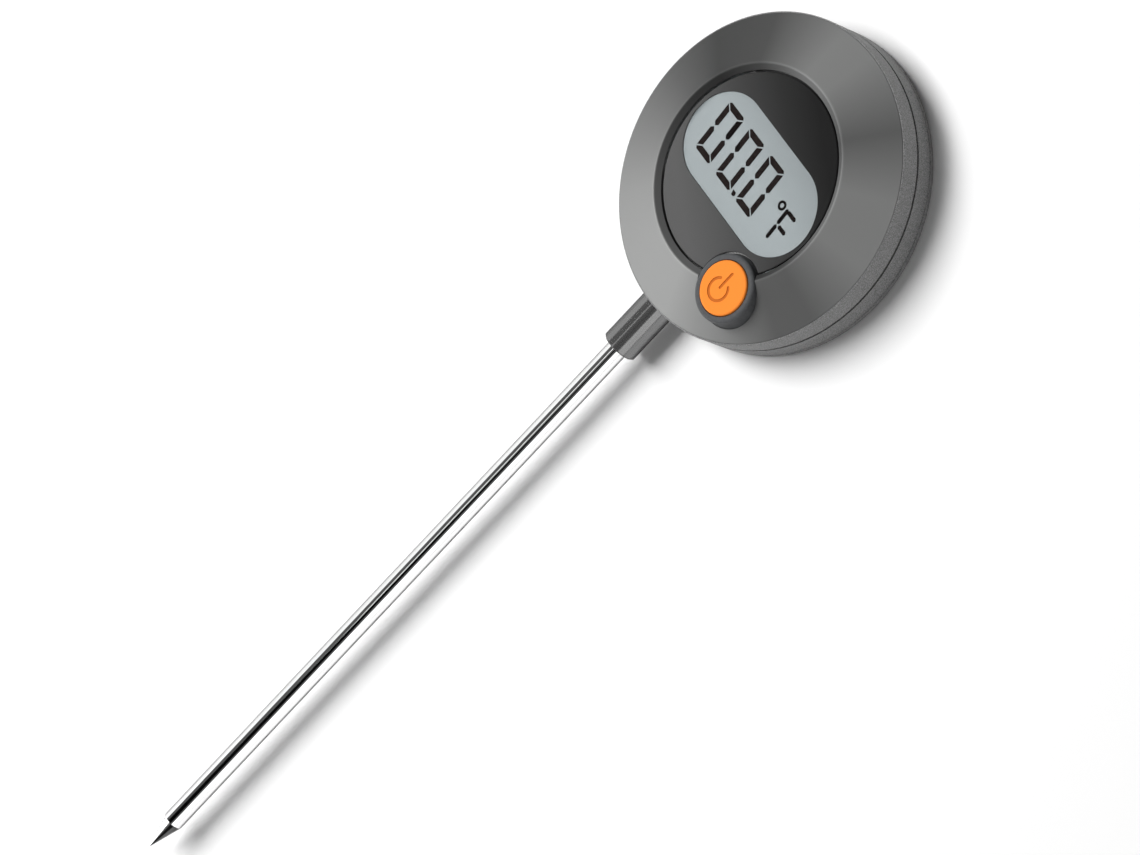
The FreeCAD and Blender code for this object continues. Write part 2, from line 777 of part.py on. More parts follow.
def power_icon(low, high):
    """Open ring and upright bar, as a cutter for the key's face."""
    x, y = key_x + icon_offset[0], key_y + icon_offset[1]
    half = icon_stroke / 2
    circle = ring(icon_radius - half, icon_radius + half, low, high, x, y)
    reach = icon_radius * 2
    spread = reach * math.tan(math.radians(icon_gap / 2))
    circle = circle.cut(slab([(x, y), (x + spread, y + reach), (x - spread, y + reach)], low - 1, high + 1))
    ends = []
    for side in (-1, 1):
        ex, ey = polar(icon_radius, 90 + side * icon_gap / 2)
        ends.append(disc(half, low, high, x + ex, y + ey))
    bar_low, bar_high = y + 0.45, y + icon_radius * 1.8
    upright = block(x - half, x + half, bar_low, bar_high, low, high)
    caps = [disc(half, low, high, x, bar_low), disc(half, low, high, x, bar_high)]
    return merged([circle] + ends), merged([upright] + caps)


def button_cap():
    body = merged([key_disc(key_radius, key_bottom, key_top),
                   key_disc(key_flange_radius, key_bottom, key_stop)])
    body = body.makeFillet(key_round, edges_at(body, key_top, key_radius))
    hollow = key_disc(key_radius - key_skin, key_bottom - 1, key_top - key_skin)
    body = body.cut(hollow.cut(key_disc(key_post, key_bottom - 2, key_top)))
    for mark in power_icon(key_top - icon_depth, key_top + 1):
        body = body.cut(mark)
    return body


def pill_top():
    return boot_top - boot_web


def contact_pill():
    return key_disc(key_post - 0.5, board_top + pad_thickness + key_travel, pill_top())


def button_boot():
    """Silicone dome under the key: a flange on the board, a thin cone and a flat top."""
    head = key_post + 0.3
    outline = [(0, pill_top()), (head - 0.2, pill_top()), (boot_foot - boot_web, board_top),
               (boot_radius, board_top), (boot_radius, boot_base - glue),
               (boot_foot, boot_base - glue), (head, boot_top), (0, boot_top)]
    body = lathe(outline)
    body.translate(V(key_x, key_y, 0))
    return body


def key_contacts():
    """Two half-round pads that the pill bridges."""
    pads = key_disc(key_post - 0.3, board_top, board_top + pad_thickness)
    return pads.cut(block(key_x - pad_split, key_x + pad_split, key_y - key_post, key_y + key_post, 0, lip_z))


# ---------------------------------------------------------------- board
def circuit_board():
    board = disc(board_radius, board_bottom, board_top)
    notch_top = -head_y + tube_end() + lead_tail * 2
    half = neck_radius + notch_side
    board = board.cut(block(-half, half, -head_radius, notch_top, board_bottom - 1, board_top + 1))
    for x, y in screw_places():
        board = board.cut(disc(boss_radius + hole_gap, board_bottom - 1, board_top + 1, x, y))
    for x, y in board_screw_places():
        board = board.cut(disc(board_screw_radius + 0.1, board_bottom - 1, board_top + 1, x, y))
    return board


def chip_cover():
    """Black resin over the bare chip: a low dome."""
    ball = (chip_radius * chip_radius + chip_height * chip_height) / (2 * chip_height)
    dome = Part.makeSphere(ball, V(0, 0, board_top + chip_height - ball))
    return dome.common(disc(chip_radius, board_top, board_top + chip_height))


def board_components():
    places = [(8.0, 4.0, 0), (8.0, 1.5, 0), (8.0, -1.0, 0), (-8.0, -4.5, 1), (-5.2, -5.6, 1),
              (-11.2, -2.2, 0), (5.4, -5.4, 1), (11.6, 1.8, 1), (11.6, -2.4, 1)]
    chips = []
    for x, y, upright in places:
        half_x, half_y = (part_short, part_long) if upright else (part_long, part_short)
        chips.append(block(x - half_x, x + half_x, y - half_y, y + half_y,
                           board_top, board_top + part_height))
    return Part.makeCompound(chips)


def crystal():
    x, y = crystal_place
    return Part.makeCylinder(crystal_radius, crystal_length, V(x, y, board_top + crystal_radius), V(1, 0, 0))


def coin_cell():
    step = cell_radius * 0.88
    rim = cell_top - cell_step
    body = lathe([(0, cell_bottom), (cell_radius, cell_bottom), (cell_radius, rim), (step, rim),
                  (step, cell_top), (0, cell_top)])
    return body.makeFillet(cell_round, edges_at(body, cell_bottom, cell_radius))


def negative_contact():
    """Leaf spring from the board's underside down on the cell's small pole."""
    t = contact_sheet
    low, high = cell_top + 0.02, board_bottom
    outline = [(-8.4, high), (-8.4, high - t), (-5.6, high - t), (-1.2, low), (1.4, low),
               (2.2, low + 0.35), (2.2, low + 0.35 + t), (1.3, low + t), (-1.1, low + t), (-5.5, high)]
    points = [V(x, -leaf_width / 2, z) for x, z in outline]
    return Part.Face(Part.makePolygon(points + points[:1])).extrude(V(0, leaf_width, 0))


def positive_contact():
    """Angle strip that hangs from the board and bears on the side of the cell's can."""
    t = contact_sheet
    x = cell_radius + 0.03
    half = contact_width / 2
    down = block(x, x + t, -half, half, plug_top + well_gap + notch_gap / 2, board_bottom)
    foot = block(x, x + contact_foot, -half, half, board_bottom - t, board_bottom)
    return merged([down, foot])


# ---------------------------------------------------------------- battery cap
def battery_cap():
    pocket = cell_bottom - glue
    inside, outside = seal_ring - seal_radius - glue, seal_ring + seal_radius + glue
    outline = [(0, back_z), (cover_radius - cap_edge, back_z), (cover_radius, back_z + cap_edge),
               (cover_radius, cover_top), (outside, cover_top), (outside, seal_floor()),
               (inside, seal_floor()), (inside, cover_top), (plug_radius, cover_top),
               (plug_radius, plug_top), (plug_inner, plug_top), (plug_inner, pocket), (0, pocket)]
    body = lathe(outline)
    lugs = [helical_bar(plug_radius - 0.2, lug_radius, lug_bottom - cap_lead * lug_sweep / 720.0, lug_height,
                        lug_angle(i) - lug_sweep / 2, lug_sweep) for i in range(lug_count)]
    body = merged([body] + lugs)
    length, width, depth = coin_slot
    body = body.cut(block(-length / 2, length / 2, -width / 2, width / 2, back_z - 1, back_z + depth))
    return body.cut(disc(mark_radius, back_z - 1, back_z + mark_depth, 0, cover_radius - mark_inset))


def seal_floor():
    return land_z - 2 * seal_radius


def cap_seal():
    return Part.makeTorus(seal_ring, seal_radius, V(0, 0, land_z - seal_radius), UP)


# ---------------------------------------------------------------- fasteners
def driver_recess(x, y, low, high, size):
    arms = [block(x - size, x + size, y - size * 0.22, y + size * 0.22, low, high),
            block(x - size * 0.22, x + size * 0.22, y - size, y + size, low, high)]
    return merged(arms)


def screw(x, y, seat, radius, head, head_height, length):
    """Pan-head screw driven in along +Z, with a grooved shank for its thread."""
    grooves = []
    pitch = radius * 0.8
    count = int((length - 2 * pitch) / pitch)
    root = radius * 0.8
    for i in range(count):
        at = seat + pitch * (i + 0.8)
        grooves += [(root, at), (radius, at + pitch * 0.35), (root, at + pitch * 0.7)]
    outline = [(0, seat - head_height), (head * 0.7, seat - head_height), (head, seat - head_height * 0.6),
               (head, seat), (root, seat)] + grooves
    outline += [(root, seat + length - pitch), (0.1, seat + length), (0, seat + length)]
    body = lathe(outline)
    body.translate(V(x, y, 0))
    return body.cut(driver_recess(x, y, seat - head_height - 1, seat - head_height * 0.4, head * 0.55))


def case_screws():
    return Part.makeCompound([screw(x, y, screw_seat(), screw_radius, screw_head, screw_head_height,
                                    screw_length) for x, y in screw_places()])


def board_screws():
    return Part.makeCompound([screw(x, y, board_bottom, board_screw_radius, board_screw_head,
                                    board_screw_head_height, board_screw_length)
                              for x, y in board_screw_places()])


# ---------------------------------------------------------------- the whole
STEM_NODES = [stem_tube, stem_tip, thermistor, sensor_leads, lead_solder, potting, lead_sleeve, neck,
              retaining_ring]
HEAD_NODES = [bezel_ring, fascia_plate, window_lens, lens_tape, lcd_polariser, lcd_front_glass,
              lcd_segments, lcd_rear_glass, lcd_reflector, zebra_strips, lcd_frame, front_shell,
              rear_shell, shell_gasket, foot_ring, button_collar, button_cap, contact_pill, button_boot,
              key_contacts, circuit_board, chip_cover, board_components, crystal, coin_cell,
              negative_contact, positive_contact, battery_cap, cap_seal, case_screws, board_screws]


def main():
    os.makedirs("parts", exist_ok=True)
    for make in STEM_NODES + HEAD_NODES:
        shape = make() if make in STEM_NODES else on_head(make())
        if not shape.isValid() or not shape.Solids:
            raise ValueError(f"{make.__name__} is not a valid solid")
        shape.exportStep(os.path.join("parts", make.__name__ + ".step"))
        box = shape.BoundBox
        print(f"{make.__name__:18s} {len(shape.Solids):2d} solids {shape.Volume:9.2f} mm3  "
              f"{box.XLength:6.1f} x {box.YLength:6.1f} x {box.ZLength:5.1f}")
    print(f"cap: lead {cap_lead:.3f} mm a turn, unlock lift {unlock_lift:.3f} mm, head centre y {head_y:.2f}")


main()
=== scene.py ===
# %% [markdown]
# # A digital soil thermometer
# The object is a round display head on a bright steel probe, lying on its back on a pale table.
# The solid model of every piece already exists, made to size elsewhere, and is loaded here as a
# fixed frame. This lesson gives each piece its real finish, lights it like a studio packshot,
# and places the camera.

# %% Load the frame
import math

import bpy
from mathutils import Matrix, Quaternion, Vector


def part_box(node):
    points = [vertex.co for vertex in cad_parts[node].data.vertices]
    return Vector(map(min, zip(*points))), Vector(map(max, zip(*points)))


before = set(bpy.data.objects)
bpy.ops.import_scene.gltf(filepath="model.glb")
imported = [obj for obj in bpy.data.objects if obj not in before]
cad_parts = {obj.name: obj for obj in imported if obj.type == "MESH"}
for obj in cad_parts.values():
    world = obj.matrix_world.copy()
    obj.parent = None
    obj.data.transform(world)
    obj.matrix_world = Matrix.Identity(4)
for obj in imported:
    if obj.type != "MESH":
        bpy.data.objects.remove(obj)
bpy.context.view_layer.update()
MM = 0.001
print("pieces loaded:", len(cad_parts))

# %% [markdown]
# ## Where things are
# Places come from the frame, never from memory: the head's middle is the middle of its bezel
# ring, the key's middle is the middle of its cap, and the table is the lowest point of the foot.

# %% Places read from the frame
def middle(node):
    low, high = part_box(node)
    return (Vector(low) + Vector(high)) / 2


HEAD = middle("bezel_ring")
KEY = middle("button_cap")
KEY_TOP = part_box("button_cap")[1][2]
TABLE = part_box("foot_ring")[0][2]
print("head at", [round(v / MM, 2) for v in HEAD], "mm, table at", round(TABLE / MM, 2), "mm")

# %% [markdown]
# ## A small workbench for finishes
# A finish in Blender is a little circuit: a pattern goes in, and colour, roughness and a fine
# relief come out. It could be drawn by hand in the shader editor for each piece, but nearly
# every real finish here is the same circuit with other numbers: a grain that mottles the colour,
# changes how glossy each spot is and stands up a few microns. So one function builds it, with
# the grain's size in millimetres, and `stretch` draws the grain out along one direction for
# rolled, turned or polished metal.

# %% Helpers that build finishes
def add(material, kind, **settings):
    node = material.node_tree.nodes.new(kind)
    for key, value in settings.items():
        setattr(node, key, value)
    return node


def wire(material, source, target):
    material.node_tree.links.new(source, target)


def new_finish(name, metal, rough):
    material = bpy.data.materials.new(name)
    material.use_nodes = True
    shader = material.node_tree.nodes["Principled BSDF"]
    shader.inputs["Metallic"].default_value = metal
    shader.inputs["Roughness"].default_value = rough
    return material, shader


def position(material, centre=(0, 0, 0), scale=(1, 1, 1)):
    """Place on the piece in the frame's metres, counted from centre, then scaled."""
    source = add(material, "ShaderNodeTexCoord").outputs["Object"]
    moved = add(material, "ShaderNodeVectorMath", operation="SUBTRACT")
    moved.inputs[1].default_value = centre
    scaled = add(material, "ShaderNodeVectorMath", operation="MULTIPLY")
    scaled.inputs[1].default_value = scale
    wire(material, source, moved.inputs[0])
    wire(material, moved.outputs[0], scaled.inputs[0])
    return scaled.outputs[0]


def ramp(material, value, stops, smooth=False):
    node = add(material, "ShaderNodeValToRGB")
    node.color_ramp.interpolation = "B_SPLINE" if smooth else "LINEAR"
    points = node.color_ramp.elements
    while len(points) < len(stops):
        points.new(0.5)
    for point, (at, colour) in zip(points, stops):
        point.position = at
        point.color = (*colour, 1)
    wire(material, value, node.inputs[0])
    return node.outputs[0]


def grain(material, shader, size, stretch=(1, 1, 1), relief=0.01, rough=None, detail=3.0):
    """Noise of that size in mm, as relief in mm and as a range of roughness. Returns its value."""
    scale = [1 / (size * MM * s) for s in stretch]
    noise = add(material, "ShaderNodeTexNoise")
    noise.inputs["Scale"].default_value = 1.0
    noise.inputs["Detail"].default_value = detail
    wire(material, position(material, scale=scale), noise.inputs["Vector"])
    value = noise.outputs["Fac"]
    if relief:
        bump = add(material, "ShaderNodeBump")
        bump.inputs["Strength"].default_value = 1.0
        bump.inputs["Distance"].default_value = relief * MM
        wire(material, value, bump.inputs["Height"])
        wire(material, bump.outputs[0], shader.inputs["Normal"])
    if rough:
        spread = add(material, "ShaderNodeMapRange")
        spread.inputs["From Min"].default_value = 0.3
        spread.inputs["From Max"].default_value = 0.7
        spread.inputs["To Min"].default_value = rough[0]
        spread.inputs["To Max"].default_value = rough[1]
        wire(material, value, spread.inputs["Value"])
        wire(material, spread.outputs[0], shader.inputs["Roughness"])
    return value


def grained(name, dark, light, metal=0.0, rough=(0.4, 0.6), size=0.3, stretch=(1, 1, 1), relief=0.005,
            gloss=0.5):
    """A whole finish: one grain that mottles between two colours."""
    material, shader = new_finish(name, metal, rough[0])
    shader.inputs["Specular IOR Level"].default_value = gloss
    value = grain(material, shader, size, stretch, relief, rough)
    wire(material, ramp(material, value, [(0.35, dark), (0.65, light)]), shader.inputs["Base Color"])
    return material


def grey(level):
    return (level, level, level)


def along(material, direction, centre, span):
    """0 to 1 over span metres in that direction, with 0.5 at centre."""
    dot = add(material, "ShaderNodeVectorMath", operation="DOT_PRODUCT")
    dot.inputs[1].default_value = Vector(direction).normalized() / span
    wire(material, position(material, centre), dot.inputs[0])
    half = add(material, "ShaderNodeMath", operation="ADD")
    half.inputs[1].default_value = 0.5
    wire(material, dot.outputs["Value"], half.inputs[0])
    return half.outputs[0]


def shaded(material, factor):
    """Multiply the finish's colour by factor, a grey made by other nodes."""
    base = material.node_tree.nodes["Principled BSDF"].inputs["Base Color"]
    colour = add(material, "ShaderNodeVectorMath", operation="MULTIPLY")
    wire(material, base.links[0].from_socket, colour.inputs[0])
    wire(material, factor, colour.inputs[1])
    wire(material, colour.outputs[0], base)


def dress(material, *nodes):
    for node in nodes:
        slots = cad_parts[node].data.materials
        slots.clear()
        slots.append(material)
    print(material.name, "->", ", ".join(nodes))


# %% [markdown]
# ## The bezel
# The bezel is a shallow cone of spun metal in a dark satin finish. The lathe leaves invisible
# rings round the axis, and light glints off rings in fans that spread from the middle, which is
# why such a ring looks light and dark by turns. Blender can bend reflections with the anisotropic
# setting, and does so here with a tangent that runs round Z. The fans are also painted into the
# colour as painted highlights and painted shade, a gradient by angle, so they stay with the piece
# from every side. The sloped lip inside the crest gets painted shade, the crest a painted highlight.

# %% Bezel finish
def angle_round(material, centre):
    """0 to 1 once round the head, starting at -X and passing -Y, +X and +Y."""
    gradient = add(material, "ShaderNodeTexGradient", gradient_type="RADIAL")
    wire(material, position(material, centre), gradient.inputs["Vector"])
    return gradient.outputs["Fac"]


# Painted highlights and painted shade: the fans of glint, set into the bezel's colour by angle.
# Broad light fans at -80, 20 and 95 degrees, and dark ones at -25, 60 and 160.
PAINTED_FAN_LEVELS = [  # degrees round from +X, brightness
    (-180, 0.1), (-130, 0.26), (-80, 0.32), (-50, 0.22), (-30, 0.12), (-15, 0.13), (10, 0.28),
    (35, 0.29), (60, 0.15), (90, 0.3), (105, 0.3), (135, 0.1), (160, 0.06), (180, 0.1)]
# Radii of the painted shade on the sloped lip and the painted highlight on the crest.
CREST_FROM, CREST_TO = 18.9, 19.5  # mm from the head's axis: the sloped lip, then the crest


def away(material, centre):
    """Distance from the upright axis through centre, in mm."""
    length = add(material, "ShaderNodeVectorMath", operation="LENGTH")
    wire(material, position(material, centre, (1 / MM, 1 / MM, 0)), length.inputs[0])
    return length.outputs["Value"]


def bezel_finish():
    material, shader = new_finish("bezel_satin", 0.35, 0.5)
    stops = [((angle + 180) / 360, (level, level * 1.01, level)) for angle, level in PAINTED_FAN_LEVELS]
    # The painted fans of highlight and shade, by angle round the head.
    fans = ramp(material, angle_round(material, HEAD), stops)
    crest = add(material, "ShaderNodeMapRange")
    crest.inputs["From Min"].default_value = CREST_FROM
    crest.inputs["From Max"].default_value = CREST_TO
    wire(material, away(material, HEAD), crest.inputs["Value"])
    # Painted shade on the sloped lip, a painted highlight on the crest, plain colour beyond.
    shade = ramp(material, crest.outputs[0], [(0.0, grey(0.5)), (0.55, grey(1.25)), (1.0, grey(1.0))])
    colour = add(material, "ShaderNodeVectorMath", operation="MULTIPLY")
    wire(material, fans, colour.inputs[0])
    wire(material, shade, colour.inputs[1])
    wire(material, colour.outputs[0], shader.inputs["Base Color"])
    shader.inputs["Anisotropic"].default_value = 0.5
    tangent = add(material, "ShaderNodeTangent", direction_type="RADIAL", axis="Z")
    wire(material, tangent.outputs[0], shader.inputs["Tangent"])
    rings = add(material, "ShaderNodeTexWave", wave_type="RINGS", rings_direction="Z")
    rings.inputs["Scale"].default_value = 1.0
    wire(material, position(material, HEAD, grey(1 / (1.2 * MM))), rings.inputs["Vector"])
    bump = add(material, "ShaderNodeBump")
    bump.inputs["Distance"].default_value = 0.0006 * MM
    wire(material, rings.outputs["Fac"], bump.inputs["Height"])
    wire(material, bump.outputs[0], shader.inputs["Normal"])
    return material


dress(bezel_finish(), "bezel_ring")

# %% [markdown]
# ## The shells
# Both shells, the battery cap and the foot ring are moulded in one dark grey plastic. The mould
# is spark-eroded, which leaves a fine even sandy skin. A photo texture would do, but it would
# have to be wrapped; a noise of a quarter millimetre needs no wrapping and never repeats.

# %% Shell finishes
shell = grained("shell_grey", grey(0.135), grey(0.32), rough=(0.5, 0.75), size=0.2, relief=0.03, gloss=0.3)
dress(shell, "front_shell", "rear_shell", "battery_cap")
foot = grained("foot_grey", grey(0.15), grey(0.33), rough=(0.5, 0.7), size=0.2, relief=0.02, gloss=0.3)
dress(foot, "foot_ring")
collar = grained("collar_grey", (0.085, 0.088, 0.092), (0.1, 0.103, 0.107), rough=(0.38, 0.45), size=0.5,
                 relief=0.001, gloss=0.15)
dress(collar, "button_collar")

# %% [markdown]
# ## The fascia
# The dark plate round the display is glossy plastic. Its colour holds a painted reflection that
# fades from nearly black above the display to dark grey at the probe's side. The fade is a slanting
# gradient.

# %% Fascia finish
# Painted reflection in the fascia's colour: dark grey at the probe's side, nearly black above the display.
FASCIA_PAINTED_REFLECTION = [
    (0.1, grey(0.107)), (0.28, grey(0.085)), (0.55, grey(0.047)), (0.75, grey(0.026)), (0.93, grey(0.014))]


def fascia_finish():
    material, shader = new_finish("fascia_gloss", 0.0, 0.13)
    shader.inputs["Specular IOR Level"].default_value = 0.3
    low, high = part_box("fascia_plate")
    place = along(material, (0.46, 0.89, 0), HEAD, high[0] - low[0])
    wire(material, ramp(material, place, FASCIA_PAINTED_REFLECTION), shader.inputs["Base Color"])
    return material


dress(fascia_finish(), "fascia_plate")

# %% [markdown]
# ## The window and the display
# The window is clear plastic, and under it lie a polariser, two sheets of glass with the figures
# between them, and a silvery grey reflector. True glass in Cycles would hold the lamps' light
# back and leave the display black, so each clear layer is mostly a Transparent shader, with a
# Glossy one mixed in more and more towards grazing. The window is coated against reflections, as
# display windows are, so face on it mirrors almost nothing. The renderer only follows a ray through
# a few clear faces, so the layers are also left out of the lamps' own rays, which would otherwise
# run out before they reached the figures. The thin fascia casts no shadow either, because its edge
# would draw a dark crescent across one end of the display.

# %% Clear layers
FACE_ON_SHARE = 0.006
GRAZING_SHARE = 0.9
SLANT_POWER = 5.0


def sheen_by_slant(material):
    """Share of light that a coated clear face mirrors: hardly any face on, more towards grazing."""
    facing = add(material, "ShaderNodeLayerWeight")
    facing.inputs["Blend"].default_value = 0.5
    power = add(material, "ShaderNodeMath", operation="POWER")
    power.inputs[1].default_value = SLANT_POWER
    share = add(material, "ShaderNodeMath", operation="MULTIPLY_ADD")
    share.inputs[1].default_value = GRAZING_SHARE
    share.inputs[2].default_value = FACE_ON_SHARE
    wire(material, facing.outputs["Facing"], power.inputs[0])
    wire(material, power.outputs[0], share.inputs[0])
    return share.outputs[0]


def clear_finish(name, tint, gloss_rough, gloss=1.0):
    """A see-through layer. Returns the material and its last shader, to paint over."""
    material = bpy.data.materials.new(name)
    material.use_nodes = True
    material.node_tree.nodes.clear()
    output = add(material, "ShaderNodeOutputMaterial")
    through = add(material, "ShaderNodeBsdfTransparent")
    through.inputs["Color"].default_value = (*tint, 1)
    shine = add(material, "ShaderNodeBsdfGlossy")
    shine.inputs["Color"].default_value = (gloss, gloss, gloss, 1)
    shine.inputs["Roughness"].default_value = gloss_rough
    mix = add(material, "ShaderNodeMixShader")
    wire(material, sheen_by_slant(material), mix.inputs[0])
    wire(material, through.outputs[0], mix.inputs[1])
    wire(material, shine.outputs[0], mix.inputs[2])
    wire(material, mix.outputs[0], output.inputs["Surface"])
    return material, mix, output


PRINT_RADIUS = 17.25  # mm from the head's axis to the black print


def window_finish():
    """The clear window, with a black print round its rim that hides the edge of the display."""
    material, clear, output = clear_finish("clear_window", grey(0.99), 0.04)
    printed = add(material, "ShaderNodeMath", operation="GREATER_THAN")
    printed.inputs[1].default_value = PRINT_RADIUS
    wire(material, away(material, HEAD), printed.inputs[0])
    black = add(material, "ShaderNodeBsdfDiffuse")
    black.inputs["Color"].default_value = (0.004, 0.004, 0.004, 1)
    mix = add(material, "ShaderNodeMixShader")
    wire(material, printed.outputs[0], mix.inputs[0])
    wire(material, clear.outputs[0], mix.inputs[1])
    wire(material, black.outputs[0], mix.inputs[2])
    wire(material, mix.outputs[0], output.inputs["Surface"])
    return material


dress(window_finish(), "window_lens")
dress(clear_finish("polariser_film", (0.97, 0.98, 0.975), 0.4, 0.3)[0], "lcd_polariser")
dress(clear_finish("display_glass", grey(0.985), 0.05, 0.3)[0], "lcd_front_glass")
for layer in ("window_lens", "lcd_polariser", "lcd_front_glass"):
    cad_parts[layer].visible_shadow = False
    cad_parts[layer].visible_diffuse = False
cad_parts["fascia_plate"].visible_shadow = False

# %% [markdown]
# The rear glass is seen only against its reflector, so it takes the reflector's look: a pale
# blue grey with the very fine sparkle of the film behind it, with painted shade that makes it a little
# dimmer under the upper edge.
# The figures are dark brown-black, as a driven liquid crystal is, and not quite even.

# %% Display finishes
backing = grained("display_reflector", (0.375, 0.41, 0.425), (0.405, 0.44, 0.455), rough=(0.4, 0.55),
                  size=0.2, relief=0.0, gloss=0.0)
# Painted shade: the reflector's colour dims towards the display's upper edge.
DISPLAY_PAINTED_SHADE = [(0.1, grey(1.02)), (0.5, grey(1.04)), (0.8, grey(0.9)), (1.0, grey(0.8))]
shaded(backing, ramp(backing, along(backing, (0.2, 1, 0), HEAD, 20 * MM), DISPLAY_PAINTED_SHADE))
dress(backing, "lcd_rear_glass", "lcd_reflector")
ink = grained("display_ink", (0.014, 0.010, 0.010), (0.024, 0.018, 0.017), rough=(0.5, 0.6), size=0.6,
              relief=0.0, gloss=0.0)
dress(ink, "lcd_segments")

# %% [markdown]
# ## The key
# The key is orange plastic with the standby mark sunk in its face. The floor of the mark is
# painted darker as painted shade in the recess, so the colour is chosen by height: below the face,
# and only inside the face's rim, it is a burnt orange.

# %% Key finish
MARK_DEPTH = 0.06 * MM
MARK_RIM = 4.2 * MM


def key_finish():
    material, shader = new_finish("key_orange", 0.0, 0.4)
    shader.inputs["Specular IOR Level"].default_value = 0.12
    centre = (KEY.x, KEY.y, KEY_TOP)
    split = add(material, "ShaderNodeSeparateXYZ")
    wire(material, position(material, centre), split.inputs[0])
    sunk = add(material, "ShaderNodeMath", operation="LESS_THAN")
    sunk.inputs[1].default_value = -MARK_DEPTH
    wire(material, split.outputs["Z"], sunk.inputs[0])
    flat = add(material, "ShaderNodeVectorMath", operation="LENGTH")
    wire(material, position(material, centre, (1, 1, 0)), flat.inputs[0])
    inside = add(material, "ShaderNodeMath", operation="LESS_THAN")
    inside.inputs[1].default_value = MARK_RIM
    wire(material, flat.outputs["Value"], inside.inputs[0])
    mark = add(material, "ShaderNodeMath", operation="MULTIPLY")
    wire(material, sunk.outputs[0], mark.inputs[0])
    wire(material, inside.outputs[0], mark.inputs[1])
    # Painted shade: the sunk floor of the mark is a darker burnt orange.
    colours = [(0.45, (1.0, 0.282, 0.041)), (0.55, (0.58, 0.15, 0.022))]
    wire(material, ramp(material, mark.outputs[0], colours), shader.inputs["Base Color"])
    grain(material, shader, 0.25, relief=0.002, rough=(0.36, 0.46))
    return material


dress(key_finish(), "button_cap")
dress(grained("carbon_rubber", grey(0.02), grey(0.04), rough=(0.7, 0.9), size=0.2), "contact_pill")
dress(grained("boot_silicone", grey(0.5), grey(0.6), rough=(0.4, 0.5), size=0.6), "button_boot")

# %% [markdown]
# ## The probe
# The probe is stainless tube, centreless ground and polished along its length until it mirrors
# the studio. The polish leaves hair lines that run with the tube, so the grain is stretched 120
# times along Y. The neck is a dark plated bush that shows the same lights as softer, darker
# stripes. Both have a low grazing tint, which draws a dark outline along them. The point is ground
# to a polished cone with a painted highlight on one side and painted shade on the other, a
# gradient across the cone.

# %% Probe finishes
def dull_edges(material, share):
    """Set the share of light that the metal mirrors near grazing, on the shader's own tint."""
    shader = material.node_tree.nodes["Principled BSDF"]
    shader.inputs["Specular Tint"].default_value = (share, share, share, 1)


EDGE_SHARE = 0.12
probe = grained("probe_steel", grey(0.86), grey(0.94), metal=1.0, rough=(0.05, 0.09), size=0.08,
                stretch=(1, 120, 1), relief=0.0002)
dull_edges(probe, EDGE_SHARE)
dress(probe, "stem_tube")
bush = grained("neck_steel", grey(0.2), grey(0.23), metal=0.75, rough=(0.13, 0.16), size=0.1,
               stretch=(1, 60, 1), relief=0.0)
dull_edges(bush, EDGE_SHARE)
dress(bush, "neck")

point = grained("tip_steel", grey(0.9), grey(1.0), metal=1.0, rough=(0.1, 0.16), size=0.08,
                stretch=(1, 20, 1), relief=0.0004)
# Painted highlight and painted shade across the cone: bright on one side, dark on the other.
TIP_PAINTED_SHADE = [(0.49, grey(1.0)), (0.52, grey(0.05)), (0.65, grey(0.12)), (0.82, grey(0.04))]
shaded(point, ramp(point, along(point, (0.83, 0.0, -0.56), (0, 0, 0), 5 * MM), TIP_PAINTED_SHADE))
dress(point, "stem_tip")

# %% [markdown]
# ## Inside the head
# These pieces show only when the case is open, in a cut view or where the window is clear, but
# each still gets what it is made of: solder mask, gold, nickel, tin, ceramic, resin, rubber.
# One loop dresses them from a list, since a list is easier to read than twenty cells.

